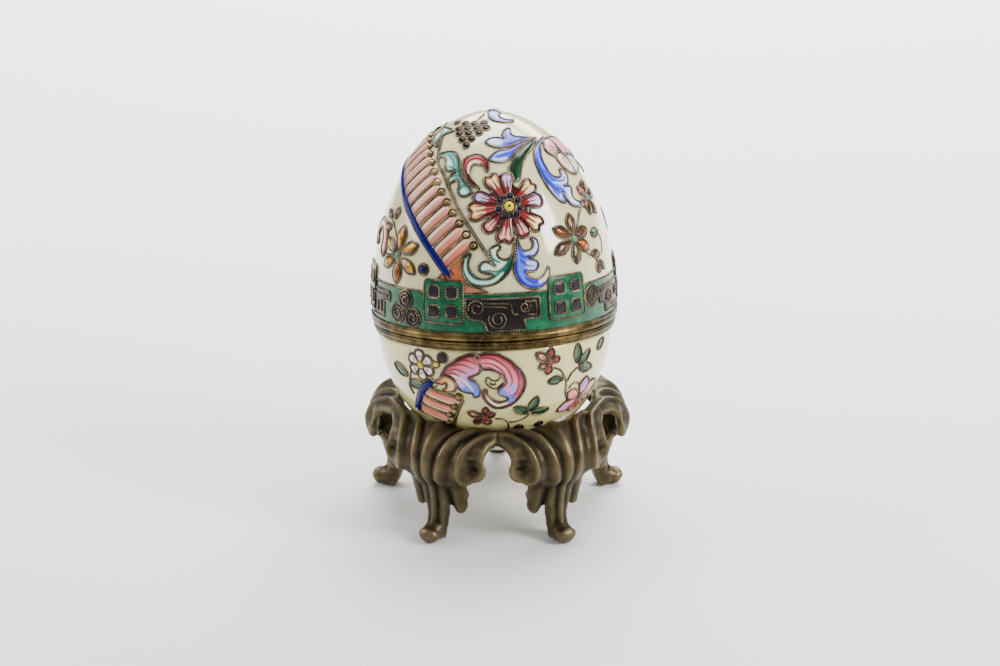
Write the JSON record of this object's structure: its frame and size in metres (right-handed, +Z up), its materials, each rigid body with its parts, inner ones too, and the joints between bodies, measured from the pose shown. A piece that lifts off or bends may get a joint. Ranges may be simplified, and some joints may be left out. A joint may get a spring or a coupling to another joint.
{
  "type": "jewelled egg on a stand",
  "caption": "Enamelled hollow egg that opens at a gilt seam, with filigree flowers and a fluted band, lying in a footed cast brass stand.",
  "frame": {"origin": "middle of the whole piece's footprint, on the surface that the stand's feet rest on", "axes": "+Z up; the front of the egg and the stand's front arch face -Y; +X to the right as seen from the front"},
  "size_m": [0.0598, 0.0596, 0.0903],
  "materials": {
    "stand_brass": "cast, dark patina in the hollows and rubbed bright on the ridges",
    "rim_gilt": "aged gilt, satin",
    "lid_enamel": "glossy ivory enamel on metal, filigree cells in colour",
    "bowl_enamel": "glossy cream enamel on metal, filigree cells in colour"
  },
  "bodies": {
    "root": {"stand": "stand_brass", "bowl": "bowl_enamel", "bowl_rim": "rim_gilt", "lid_rim": "rim_gilt", "lid": "lid_enamel"}
  },
  "joints": []
}
